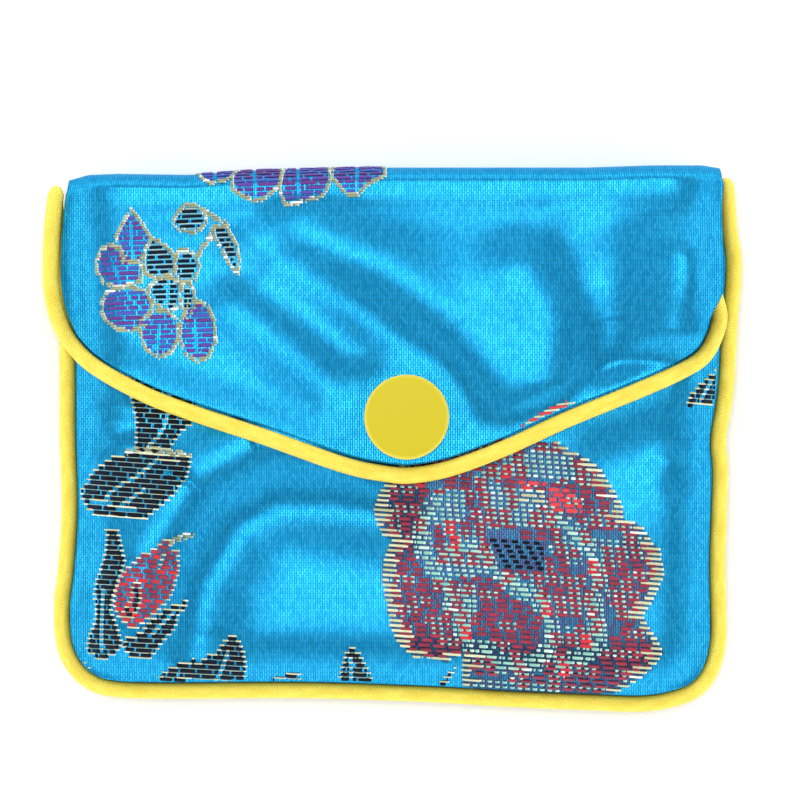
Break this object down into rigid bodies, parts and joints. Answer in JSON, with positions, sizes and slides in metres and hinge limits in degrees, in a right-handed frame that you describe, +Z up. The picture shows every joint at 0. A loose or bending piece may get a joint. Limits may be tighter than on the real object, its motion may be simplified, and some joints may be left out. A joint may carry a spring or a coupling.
{
  "type": "jewelry pouch",
  "caption": "Flat padded jewellery pouch of turquoise brocade with a pointed flap, yellow corded edges and a round plastic snap.",
  "frame": {"origin": "on the table under the middle of the pouch's outline, with the pouch lying on its back", "axes": "+X to the right across the front, +Y from the bottom seam towards the fold, +Z up out of the front"},
  "size_m": [0.1024, 0.0802, 0.0132],
  "materials": {
    "turquoise_brocade": "satin",
    "yellow_satin": "satin",
    "yellow_plastic": "gloss"
  },
  "bodies": {
    "root": {"back_and_flap": "turquoise_brocade", "front_panel": "turquoise_brocade", "body_piping": "yellow_satin", "flap_piping": "yellow_satin", "snap_cap": "yellow_plastic", "snap_socket": "yellow_plastic", "snap_stud": "yellow_plastic"}
  },
  "joints": []
}
